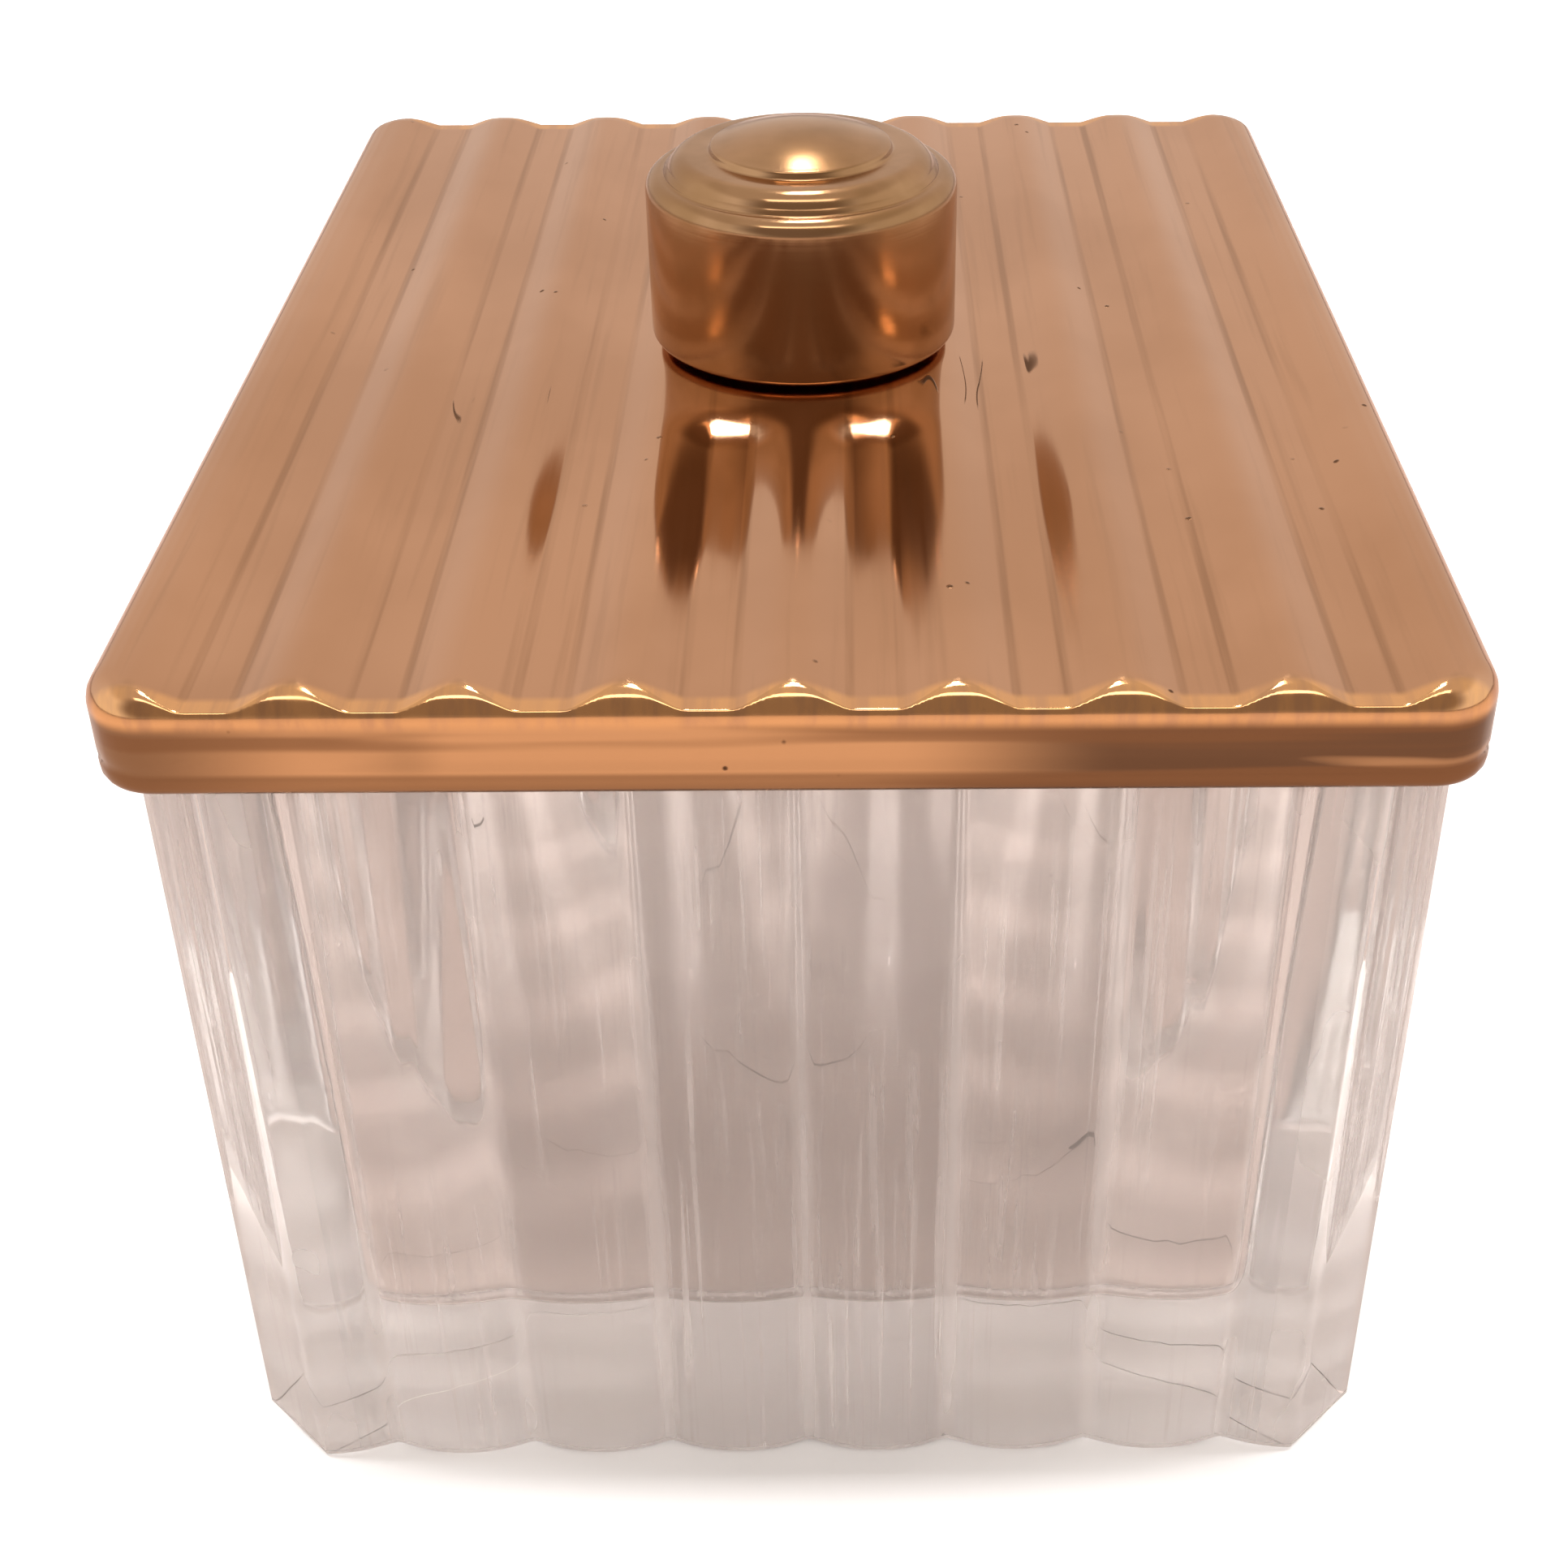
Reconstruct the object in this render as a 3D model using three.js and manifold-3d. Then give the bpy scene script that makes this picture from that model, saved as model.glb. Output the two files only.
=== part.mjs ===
// A fluted glass box with a ridged brass lid that lifts straight off by a round knob.
//
// Millimetres, +Z up. X runs across the box and -Y is its front. The origin is the centre of the
// surface that the box stands on. The lid's ridges run from front to back, along Y.

import * as THREE from "three";
import { mergeVertices } from "three/addons/utils/BufferGeometryUtils.js";
import Module from "manifold-3d";

const wasm = await Module();
wasm.setup();

// ---- Driving dimensions ----

// Glass box
const FLUTES_ACROSS = 7;          // flutes on the front and back walls, counting two half ones
const FLUTES_ALONG = 9;           // flutes on each side wall, counting two half ones
const FLUTE_WIDTH_ACROSS = 11.5;
const FLUTE_WIDTH_ALONG = 11.77;
const FLUTE_RISE = 1.2;           // how far a flute's crest stands out from the grooves beside it
const CORNER_LEG = 5.75;          // leg of the 45 degree cut at each upright corner
const GLASS_HEIGHT = 73.2;
const GLASS_EDGE_BEVEL = 1;
const WALL_AT_RIM = 6.6;
const WALL_AT_FLOOR = 8.2;
const BASE_THICKNESS = 12;
const CAVITY_CORNER_RADIUS = 5;

// Lid
const LID_SEAT_GAP = 0.1;         // between the glass rim and the underside of the lid's valleys
const RIDGE_PITCH = 11;
const RIDGE_COUNT = 9;
const VALLEY_DEPTH = 1.3;
const RIDGE_REACH = 0.345;        // share of the pitch from a ridge's middle to the flat valley
const LID_WIDTH = 94.5;
const LID_DEPTH = 120;
const LID_SHEET = 0.6;
const LID_EDGE_RADIUS = 2.2;
const LID_CORNER_RADIUS = 4.4;
const SKIRT_HEIGHT = 8;           // from the ridge tops to the lower edge
const PAD_WIDTH = 2 * RIDGE_PITCH;
const PAD_DEPTH = 31.4;
const PAD_RAMP = 5;               // length of the slope from the pad down to a valley

// Knob
const KNOB_RADIUS = 13;
const KNOB_SHOULDER_Z = 14.3;     // heights above the pad
const KNOB_TOP_Z = 17.9;
const KNOB_FOOT_RADIUS = 10;
const KNOB_FOOT_HEIGHT = 0.5;
const KNOB_DOME_RADIUS = 7.6;
const KNOB_DOME_EDGE_Z = 16.4;
const KNOB_STEP_RADIUS = 11.4;
const KNOB_STEP_Z = 15.9;
const KNOB_STEP_ROUND = 1.6;
const KNOB_SHOULDER_ROUND = 1.3;
const KNOB_LOWER_ROUND = 0.7;

// Fastener
const SCREW_RADIUS = 2;
const SCREW_CLEARANCE = 0.3;
const SCREW_REACH = 9;            // how far the shank goes into the knob
const SCREW_HEAD_RADIUS = 3.6;
const SCREW_HEAD_HEIGHT = 2.4;
const SCREW_HEAD_ROUND = 0.5;
const SLOT_WIDTH = 1;
const SLOT_DEPTH = 1.2;
const WASHER_RADIUS = 6;
const WASHER_THICKNESS = 0.8;

// Fineness of the faceted curves
const FLUTE_STEPS = 6;
const SLOPE_STEPS = 4;
const CORNER_STEPS = 5;
const EDGE_STEPS = 4;
const ROUND_STEPS = 40;
const DOME_STEPS = 4;

// ---- Sizes that follow ----

const FLUTED_WIDTH = FLUTES_ACROSS * FLUTE_WIDTH_ACROSS;
const FLUTED_DEPTH = FLUTES_ALONG * FLUTE_WIDTH_ALONG;
const GLASS_WIDTH = FLUTED_WIDTH + 2 * CORNER_LEG;
const GLASS_DEPTH = FLUTED_DEPTH + 2 * CORNER_LEG;
const RIDGE_TOP = GLASS_HEIGHT + LID_SEAT_GAP + LID_SHEET + VALLEY_DEPTH;
const SKIRT_BOTTOM = RIDGE_TOP - SKIRT_HEIGHT;
const HOLE_RADIUS = SCREW_RADIUS + SCREW_CLEARANCE;
const OVERCUT = 5;                // how far a cutting solid runs past what it cuts

// ---- Solids and meshes ----

// Turns a closed three.js geometry into a solid that can be joined or cut.
function solid(geometry) {
  const bare = geometry.clone();
  bare.deleteAttribute("normal");
  bare.deleteAttribute("uv");
  const merged = mergeVertices(bare, 1e-4);
  return new wasm.Manifold(
    new wasm.Mesh({
      numProp: 3,
      vertProperties: new Float32Array(merged.attributes.position.array),
      triVerts: new Uint32Array(merged.index.array),
    })
  );
}

// Turns a solid back into a geometry.
function geometryOf(body) {
  const { vertProperties, triVerts } = body.getMesh();
  const geometry = new THREE.BufferGeometry();
  geometry.setAttribute("position", new THREE.BufferAttribute(vertProperties, 3));
  geometry.setIndex(new THREE.BufferAttribute(triVerts, 1));
  geometry.computeVertexNormals();
  return geometry;
}

function named(name, geometry, material) {
  const mesh = new THREE.Mesh(geometry, material);
  mesh.name = name;
  return mesh;
}

// A rectangle with round corners, centred on the origin.
function roundedRectangle(width, depth, radius) {
  const x = width / 2 - radius;
  const y = depth / 2 - radius;
  const shape = new THREE.Shape();
  shape.absarc(x, y, radius, 0, Math.PI / 2);
  shape.absarc(-x, y, radius, Math.PI / 2, Math.PI);
  shape.absarc(-x, -y, radius, Math.PI, 1.5 * Math.PI);
  shape.absarc(x, -y, radius, 1.5 * Math.PI, 2 * Math.PI);
  return new THREE.Shape(shape.extractPoints(CORNER_STEPS).shape);
}

// A lathe turned about the upright axis through the origin, from [radius, height] pairs.
function turned(profile) {
  const points = profile.map(([radius, height]) => new THREE.Vector2(radius, height));
  const geometry = new THREE.LatheGeometry(points, ROUND_STEPS);
  geometry.rotateX(Math.PI / 2);
  return geometry;
}

// An upright cylinder on the box's axis, from z = low to z = high.
function pillar(radius, low, high) {
  const geometry = new THREE.CylinderGeometry(radius, radius, high - low, ROUND_STEPS);
  geometry.rotateX(Math.PI / 2);
  geometry.translate(0, 0, (low + high) / 2);
  return solid(geometry);
}

// Points of a quarter turn about [x, y], from one angle to another, both ends included.
function arc(x, y, radius, from, to, steps) {
  return Array.from({ length: steps + 1 }, (_, step) => {
    const angle = from + ((to - from) * step) / steps;
    return [x + radius * Math.cos(angle), y + radius * Math.sin(angle)];
  });
}

// ---- Glass box ----

// How far the glass stands out from the groove line, at a distance t along a wall from its middle.
// Grooves fall at whole flute widths from the middle, and each flute between them is a shallow arc.
function fluteStandout(t, fluteWidth) {
  const radius = ((fluteWidth / 2) ** 2 + FLUTE_RISE ** 2) / (2 * FLUTE_RISE);
  const share = t / fluteWidth;
  const offset = (share - Math.floor(share) - 0.5) * fluteWidth;
  return Math.sqrt(radius ** 2 - offset ** 2) - (radius - FLUTE_RISE);
}

// One fluted wall of the outline, whose crests are half a size away from the axis.
function flutedWall(crestDistance, fluteWidth, fluteCount, turn) {
  const count = fluteCount * FLUTE_STEPS;
  return Array.from({ length: count + 1 }, (_, step) => {
    const along = (step / FLUTE_STEPS - fluteCount / 2) * fluteWidth;
    const out = crestDistance - FLUTE_RISE + fluteStandout(along, fluteWidth);
    return new THREE.Vector2(out, along).rotateAround(new THREE.Vector2(), turn);
  });
}

function glassOutline() {
  const quarter = Math.PI / 2;
  return new THREE.Shape([
    ...flutedWall(GLASS_WIDTH / 2, FLUTE_WIDTH_ALONG, FLUTES_ALONG, 0),
    ...flutedWall(GLASS_DEPTH / 2, FLUTE_WIDTH_ACROSS, FLUTES_ACROSS, quarter),
    ...flutedWall(GLASS_WIDTH / 2, FLUTE_WIDTH_ALONG, FLUTES_ALONG, 2 * quarter),
    ...flutedWall(GLASS_DEPTH / 2, FLUTE_WIDTH_ACROSS, FLUTES_ACROSS, 3 * quarter),
  ]);
}

function glassBox() {
  const outer = new THREE.ExtrudeGeometry(glassOutline(), {
    depth: GLASS_HEIGHT - 2 * GLASS_EDGE_BEVEL,
    bevelThickness: GLASS_EDGE_BEVEL,
    bevelSize: GLASS_EDGE_BEVEL,
    bevelOffset: -GLASS_EDGE_BEVEL,
    bevelSegments: 1,
  });
  outer.translate(0, 0, GLASS_EDGE_BEVEL);

  // The cavity narrows evenly from the rim to the floor, so that the press tool draws out of it.
  const cavityDepth = GLASS_HEIGHT - BASE_THICKNESS;
  const narrowing = WALL_AT_FLOOR - WALL_AT_RIM;
  const mouth = roundedRectangle(
    GLASS_WIDTH - 2 * WALL_AT_RIM,
    GLASS_DEPTH - 2 * WALL_AT_RIM,
    CAVITY_CORNER_RADIUS
  );
  const cavity = new THREE.ExtrudeGeometry(mouth, {
    depth: OVERCUT,
    bevelThickness: cavityDepth,
    bevelSize: narrowing,
    bevelOffset: -narrowing,
    bevelSegments: 1,
  });
  cavity.translate(0, 0, GLASS_HEIGHT);
  return geometryOf(solid(outer).subtract(solid(cavity)));
}

// ---- Lid ----

// Depth below the ridge tops at a distance x from the middle of the lid.
function ridgeDrop(x) {
  const fromRidge = Math.abs(x / RIDGE_PITCH - Math.round(x / RIDGE_PITCH));
  const along = Math.min(fromRidge / RIDGE_REACH, 1);
  return VALLEY_DEPTH * along ** 2 * (2 - along);
}

// The x of every point on the ridged line, from left to right.
function ridgeStations() {
  const flank = RIDGE_REACH / SLOPE_STEPS;
  const outermost = (RIDGE_COUNT - 1) / 2;
  const stations = [];
  for (let ridge = -outermost; ridge < outermost; ridge++) {
    for (let step = 0; step <= SLOPE_STEPS; step++) {
      stations.push((ridge + step * flank) * RIDGE_PITCH);
    }
    for (let step = SLOPE_STEPS; step > 0; step--) {
      stations.push((ridge + 1 - step * flank) * RIDGE_PITCH);
    }
  }
  stations.push(outermost * RIDGE_PITCH);
  return stations;
}

// An extrusion of a shape drawn in X and Z, centred on Y = 0.
function acrossSection(points, depth) {
  const shape = new THREE.Shape(points.map(([x, z]) => new THREE.Vector2(x, z)));
  const geometry = new THREE.ExtrudeGeometry(shape, { depth, bevelEnabled: false });
  geometry.rotateX(Math.PI / 2);
  geometry.translate(0, depth / 2, 0);
  return geometry;
}

// Everything under the ridged top, down to z = bottom.
function ridgedBlock(inset, bottom) {
  const half = LID_WIDTH / 2 + OVERCUT;
  const top = RIDGE_TOP - inset;
  const ridgeLine = ridgeStations().map((x) => [x, top - ridgeDrop(x)]);
  const outline = [[-half, bottom], [half, bottom], [half, top], ...ridgeLine.reverse(), [-half, top]];
  return solid(acrossSection(outline, LID_DEPTH + 2 * OVERCUT));
}

// The flat pad under the knob, which ramps down into the valleys at the front and the back.
function padBlock(inset) {
  const top = RIDGE_TOP - inset;
  const low = top - VALLEY_DEPTH;
  const flat = PAD_DEPTH / 2;
  const foot = flat + PAD_RAMP;
  const outline = [[-foot, low], [foot, low], [flat, top], [-flat, top]];
  const block = acrossSection(outline, PAD_WIDTH);
  block.rotateZ(Math.PI / 2);
  return solid(block);
}

// The lid's plan with a rounded top edge. It runs down past the skirt's lower edge.
function roundedBlock(inset) {
  const plan = roundedRectangle(
    LID_WIDTH - 2 * inset,
    LID_DEPTH - 2 * inset,
    LID_CORNER_RADIUS - inset
  );
  const round = LID_EDGE_RADIUS - inset;
  const block = new THREE.ExtrudeGeometry(plan, {
    depth: SKIRT_HEIGHT,
    bevelThickness: round,
    bevelSize: round,
    bevelOffset: -round,
    bevelSegments: EDGE_STEPS,
  });
  block.translate(0, 0, RIDGE_TOP - LID_EDGE_RADIUS - SKIRT_HEIGHT);
  return solid(block);
}

function lidShell() {
  const outer = ridgedBlock(0, SKIRT_BOTTOM).add(padBlock(0)).intersect(roundedBlock(0));
  const inner = ridgedBlock(LID_SHEET, SKIRT_BOTTOM - OVERCUT)
    .add(padBlock(LID_SHEET))
    .intersect(roundedBlock(LID_SHEET));
  const screwHole = pillar(HOLE_RADIUS, RIDGE_TOP - OVERCUT, RIDGE_TOP + OVERCUT);
  return geometryOf(outer.subtract(inner).subtract(screwHole));
}

// ---- Knob ----

function knob() {
  const lowerEdge = [KNOB_RADIUS - KNOB_LOWER_ROUND, KNOB_FOOT_HEIGHT + KNOB_LOWER_ROUND];
  const shoulder = [KNOB_RADIUS - KNOB_SHOULDER_ROUND, KNOB_SHOULDER_Z - KNOB_SHOULDER_ROUND];
  const step = [KNOB_STEP_RADIUS - KNOB_STEP_ROUND, KNOB_STEP_Z - KNOB_STEP_ROUND];
  const domeRise = KNOB_TOP_Z - KNOB_DOME_EDGE_Z;
  const domeSphere = (KNOB_DOME_RADIUS ** 2 + domeRise ** 2) / (2 * domeRise);
  const domeHalfAngle = Math.asin(KNOB_DOME_RADIUS / domeSphere);
  const upright = Math.PI / 2;
  const dome = arc(0, KNOB_TOP_Z - domeSphere, domeSphere, upright - domeHalfAngle, upright, DOME_STEPS);
  dome[DOME_STEPS][0] = 0;
  return turned([
    [0, SCREW_REACH + OVERCUT / 2],
    [HOLE_RADIUS, SCREW_REACH + SCREW_CLEARANCE],
    [HOLE_RADIUS, 0],
    [KNOB_FOOT_RADIUS, 0],
    [KNOB_FOOT_RADIUS, KNOB_FOOT_HEIGHT],
    ...arc(...lowerEdge, KNOB_LOWER_ROUND, -upright, 0, EDGE_STEPS),
    ...arc(...shoulder, KNOB_SHOULDER_ROUND, 0, upright, EDGE_STEPS),
    ...arc(...step, KNOB_STEP_ROUND, 0, upright, EDGE_STEPS),
    [KNOB_DOME_RADIUS, KNOB_STEP_Z],
    ...dome,
  ]);
}

// ---- Fastener ----

// The screw's origin is the middle of the bearing face under its head, with the shank upwards.
function screw() {
  const head = SCREW_HEAD_RADIUS - SCREW_HEAD_ROUND;
  const body = turned([
    [0, -SCREW_HEAD_HEIGHT],
    [head, -SCREW_HEAD_HEIGHT],
    [SCREW_HEAD_RADIUS, SCREW_HEAD_ROUND - SCREW_HEAD_HEIGHT],
    [SCREW_HEAD_RADIUS, 0],
    [SCREW_RADIUS, 0],
    [SCREW_RADIUS, SCREW_REACH + LID_SHEET + WASHER_THICKNESS],
    [0, SCREW_REACH + LID_SHEET + WASHER_THICKNESS],
  ]);
  const slotLength = 2 * SCREW_HEAD_RADIUS + OVERCUT;
  const slot = new THREE.BoxGeometry(slotLength, SLOT_WIDTH, 2 * SLOT_DEPTH);
  slot.translate(0, 0, -SCREW_HEAD_HEIGHT);
  return geometryOf(solid(body).subtract(solid(slot)));
}

function washer() {
  return turned([
    [HOLE_RADIUS, 0],
    [WASHER_RADIUS, 0],
    [WASHER_RADIUS, WASHER_THICKNESS],
    [HOLE_RADIUS, WASHER_THICKNESS],
    [HOLE_RADIUS, 0],
  ]);
}

// ---- Materials ----

const clearGlass = new THREE.MeshStandardMaterial({
  color: 0xd9d3ce,
  roughness: 0.05,
  metalness: 0,
  transparent: true,
  opacity: 0.35,
});
const lidBrass = new THREE.MeshStandardMaterial({ color: 0xc99770, roughness: 0.25, metalness: 1 });
const knobBrass = new THREE.MeshStandardMaterial({ color: 0xb47d3a, roughness: 0.12, metalness: 1 });
const plainBrass = new THREE.MeshStandardMaterial({ color: 0xa98446, roughness: 0.4, metalness: 1 });

// ---- Assembly ----

const box = new THREE.Group();
box.add(named("glass_box", glassBox(), clearGlass));

// The lid and its hardware lift off together.
const lid = new THREE.Group();
lid.add(named("lid_shell", lidShell(), lidBrass));

const lidKnob = named("lid_knob", knob(), knobBrass);
lidKnob.position.z = RIDGE_TOP;
lid.add(lidKnob);

const knobWasher = named("knob_washer", washer(), plainBrass);
knobWasher.position.z = RIDGE_TOP - LID_SHEET - WASHER_THICKNESS;
lid.add(knobWasher);

const knobScrew = named("knob_screw", screw(), plainBrass);
knobScrew.position.z = RIDGE_TOP - LID_SHEET - WASHER_THICKNESS;
lid.add(knobScrew);

box.add(lid);

export default box;
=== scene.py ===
"""A fluted glass box with a ridged brass lid and a round brass knob, on a pale floor.

Everything is in metres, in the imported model's frame: +Z up, -Y the front of the box.
"""

import math

import bpy
import numpy as np
from mathutils import Matrix, Vector


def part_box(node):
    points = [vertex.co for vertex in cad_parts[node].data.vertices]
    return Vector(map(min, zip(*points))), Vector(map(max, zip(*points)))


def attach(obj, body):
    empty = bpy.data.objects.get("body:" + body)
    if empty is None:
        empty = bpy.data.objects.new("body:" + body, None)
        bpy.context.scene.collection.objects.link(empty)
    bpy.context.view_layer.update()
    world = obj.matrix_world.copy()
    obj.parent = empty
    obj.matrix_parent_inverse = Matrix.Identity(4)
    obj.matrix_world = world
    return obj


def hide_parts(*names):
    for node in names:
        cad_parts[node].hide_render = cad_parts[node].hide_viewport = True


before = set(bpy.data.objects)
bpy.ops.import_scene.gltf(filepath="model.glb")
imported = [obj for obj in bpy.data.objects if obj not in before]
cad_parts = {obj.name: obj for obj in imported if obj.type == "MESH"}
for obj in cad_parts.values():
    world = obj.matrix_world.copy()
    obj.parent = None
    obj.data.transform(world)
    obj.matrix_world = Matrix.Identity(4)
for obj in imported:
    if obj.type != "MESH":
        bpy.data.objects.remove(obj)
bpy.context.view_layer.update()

MM = 0.001

# ---- Sizes read from the frame ----

glass_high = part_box("glass_box")[1]
lid_low, lid_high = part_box("lid_shell")

GLASS_HALF_X = glass_high.x
GLASS_HALF_Y = glass_high.y
GLASS_TOP = glass_high.z
LID_HALF_X = lid_high.x
LID_HALF_Y = lid_high.y
RIDGE_TOP = lid_high.z
SKIRT_BOTTOM = lid_low.z
KNOB_FOOT_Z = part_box("lid_knob")[0].z

# ---- Driving dimensions ----

FLUTES_ACROSS = 7
FLUTES_ALONG = 9
FLUTE_RISE = 1.2 * MM
CORNER_LEG = 5.75 * MM
FLUTE_EDGE_SOFTNESS = 0.2 * MM        # rounding where two flutes meet
BASE_EDGE_RADIUS = 0.3 * MM
RIM_RADIUS = 1.2 * MM
WALL_AT_RIM = 6.6 * MM
WALL_AT_FLOOR = 8.2 * MM
BASE_THICKNESS = 12 * MM
CAVITY_CORNER_RADIUS = 5 * MM
CAVITY_FLOOR_RADIUS = 3 * MM

RIDGE_PITCH = 11 * MM
OUTER_RIDGE = 4 * RIDGE_PITCH
VALLEY_DEPTH = 1.3 * MM
RIDGE_REACH = 0.345                   # share of the pitch from a ridge's middle to the flat valley
SHEET = 0.55 * MM
EDGE_RADIUS = 2.2 * MM
PLAN_CORNER_RADIUS = 4.4 * MM
EDGE_SOFTNESS = 0.12 * MM             # rounding where a valley runs out through the rounded edge
HEM_RADIUS = 1.0 * MM
CREASE_HEIGHT = 1.9 * MM              # above the lower edge of the skirt
CREASE_DEPTH = 0.12 * MM
PAD_HALF_X = RIDGE_PITCH
PAD_HALF_Y = 15.7 * MM
PAD_RAMP = 5 * MM                     # length of the slope from the pad down to a valley

# ---- Colours ----

GLASS_DEEP = (0.86, 0.82, 0.80)
GLASS_LIGHT = (0.91, 0.88, 0.865)
LAMP_THROUGH_GROOVE = (0.50, 0.485, 0.475)
LAMP_THROUGH_CREST = (1.0, 0.985, 0.975)

LID_POLISHED = (0.66, 0.375, 0.22)
LID_HAZED = (0.58, 0.32, 0.18)
LID_STREAK = (0.44, 0.24, 0.13)
# painted shade along the creases between the ridges' flanks and the valleys
LID_CREASE_SHADE = (0.36, 0.19, 0.10)
# brighter gold on the front and back rounded edge: partly rubbed wear, partly a painted highlight
LID_RUBBED_EDGE_SHEEN = (0.86, 0.47, 0.21)
LID_PIT = (0.16, 0.08, 0.04)
# painted reflection and painted shade on the skirt: its lighter colour, its dark reflected stripes and
# its darkest painted shade
SKIRT_LIGHTER = (0.70, 0.39, 0.19)
SKIRT_DARK_REFLECTION = (0.25, 0.12, 0.055)
SKIRT_PAINTED_SHADE = (0.12, 0.062, 0.036)

KNOB_POLISHED = (0.50, 0.295, 0.155)
KNOB_SMUDGED = (0.38, 0.215, 0.10)
KNOB_SPECK = (0.15, 0.07, 0.03)
PLAIN_BRASS = (0.60, 0.43, 0.20)
PLAIN_BRASS_STAIN = (0.38, 0.25, 0.11)

FLOOR = (0.80, 0.79, 0.79)
FLOOR_MIRRORED = (0.42, 0.34, 0.31)
ROOM = (1.0, 0.95, 0.91)
ROOM_BEHIND = (0.80, 0.69, 0.61)
ROOM_OVERHEAD = (0.70, 0.62, 0.55)
ROOM_VIEWER = (0.30, 0.24, 0.20)
LAMP = (1, 0.94, 0.87)
SOFTBOX = (1, 0.92, 0.82)
NEUTRAL = (1, 1, 1)


# ---- Meshes ----

def piece(name, vertices, faces, material, body, node):
    """A smooth mesh object that stands for a CAD node and moves with its body."""
    mesh = bpy.data.meshes.new(name)
    mesh.from_pydata([tuple(v) for v in vertices], [], faces)
    mesh.validate()
    mesh.shade_smooth()
    mesh.materials.append(material)
    made = bpy.data.objects.new(name, mesh)
    bpy.context.scene.collection.objects.link(made)
    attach(made, body)
    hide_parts(node)
    return made


def ring_faces(count, first, second):
    """Quads between two rings of count vertices that start at indices first and second."""
    return [
        (first + i, first + (i + 1) % count, second + (i + 1) % count, second + i)
        for i in range(count)
    ]


def arc_points(centre, radius, start, end, steps):
    """[distance, height] pairs on an arc, angles in degrees, both ends included."""
    angles = np.radians(np.linspace(start, end, steps + 1))
    return [[centre[0] + radius * math.cos(a), centre[1] + radius * math.sin(a)] for a in angles]


ON_AXIS = 1e-9                        # a radius below this is a point on the axis


def lathe(profile, segments):
    """Vertices and faces of a [radius, height] profile turned about Z. Ends on the axis are closed."""
    vertices, faces, rings = [], [], []
    for radius, height in profile:
        if radius < ON_AXIS:
            rings.append((len(vertices), 1))
            vertices.append((0, 0, height))
            continue
        rings.append((len(vertices), segments))
        for i in range(segments):
            angle = 2 * math.pi * i / segments
            vertices.append((radius * math.cos(angle), radius * math.sin(angle), height))
    for (low, low_count), (high, high_count) in zip(rings, rings[1:]):
        if low_count == 1:
            faces += [(low, high + (i + 1) % segments, high + i) for i in range(segments)]
        elif high_count == 1:
            faces += [(low + i, low + (i + 1) % segments, high) for i in range(segments)]
        else:
            faces += ring_faces(segments, low, high)
    return vertices, faces


# ---- Glass box ----

FLUTE_STEPS = 24
CORNER_STEPS = 6
WALL_SHARES = np.linspace(0.1, 0.9, 9)
BASE_EDGE_STEPS = 10
RIM_STEPS = 8
CAVITY_EDGE_STEPS = 12
UNDERSIDE_SHARES = (0.01, 0.3, 0.6, 0.85)
FLOOR_SHARES = (0.95, 0.85, 0.6, 0.3, 0.01)


def flute_standout(along, width):
    """How far the glass stands out from the groove line, along a wall from its middle."""
    radius = ((width / 2) ** 2 + FLUTE_RISE ** 2) / (2 * FLUTE_RISE)
    share = along / width
    offset = (share - np.floor(share) - 0.5) * width
    arc = np.sqrt(radius ** 2 - offset ** 2) - (radius - FLUTE_RISE)
    return np.sqrt(arc ** 2 + FLUTE_EDGE_SOFTNESS ** 2) - FLUTE_EDGE_SOFTNESS * (1 - arc / FLUTE_RISE)


def fluted_wall(crest, half_length, flutes):
    """Outer points of a wall facing +X, from its low-Y end to its high-Y end."""
    width = 2 * half_length / flutes
    along = np.linspace(-half_length, half_length, flutes * FLUTE_STEPS + 1)
    out = crest - FLUTE_RISE + flute_standout(along, width)
    return np.stack([np.minimum(out, crest), along], axis=1)


def quarter_turned(points, turns):
    """Points turned counter-clockwise about Z by a number of quarter turns."""
    for _ in range(turns):
        points = np.stack([-points[:, 1], points[:, 0]], axis=1)
    return points


def glass_outline():
    """The outer outline, counter-clockwise: the four fluted walls and the flat corners."""
    side = fluted_wall(GLASS_HALF_X, GLASS_HALF_Y - CORNER_LEG, FLUTES_ALONG)
    end = fluted_wall(GLASS_HALF_Y, GLASS_HALF_X - CORNER_LEG, FLUTES_ACROSS)
    walls = [quarter_turned(wall, turn) for turn, wall in enumerate((side, end, side, end))]
    points = []
    for wall, following in zip(walls, walls[1:] + walls[:1]):
        points.append(wall)
        points.append(np.linspace(wall[-1], following[0], CORNER_STEPS + 1)[1:-1])
    return np.concatenate(points)


def inward_normals(outline):
    """Unit normals of a closed counter-clockwise outline, pointing in."""
    step = np.roll(outline, -1, axis=0) - np.roll(outline, 1, axis=0)
    step /= np.linalg.norm(step, axis=1)[:, None]
    return np.stack([-step[:, 1], step[:, 0]], axis=1)


def cavity_outline(inset, count_by_wall):
    """A rounded rectangle with the same number of points as the outer outline, wall by wall."""
    half_x = GLASS_HALF_X - inset
    half_y = GLASS_HALF_Y - inset
    radius = CAVITY_CORNER_RADIUS
    points = []
    for turn, count in enumerate(count_by_wall):
        across, along = (half_x, half_y) if turn % 2 == 0 else (half_y, half_x)
        run = np.linspace(-(along - radius), along - radius, count)
        wall = np.stack([np.full(count, across), run], axis=1)
        angles = np.radians(np.linspace(0, 90, CORNER_STEPS + 1))[1:-1]
        corner = np.stack([
            across - radius + radius * np.cos(angles),
            along - radius + radius * np.sin(angles),
        ], axis=1)
        points.append(quarter_turned(np.concatenate([wall, corner]), turn))
    return np.concatenate(points)


def shrinking_rings(ring, shares):
    """Copies of a level ring scaled towards its middle, for a flat cap."""
    return [ring * (share, share, 1) for share in shares]


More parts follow.
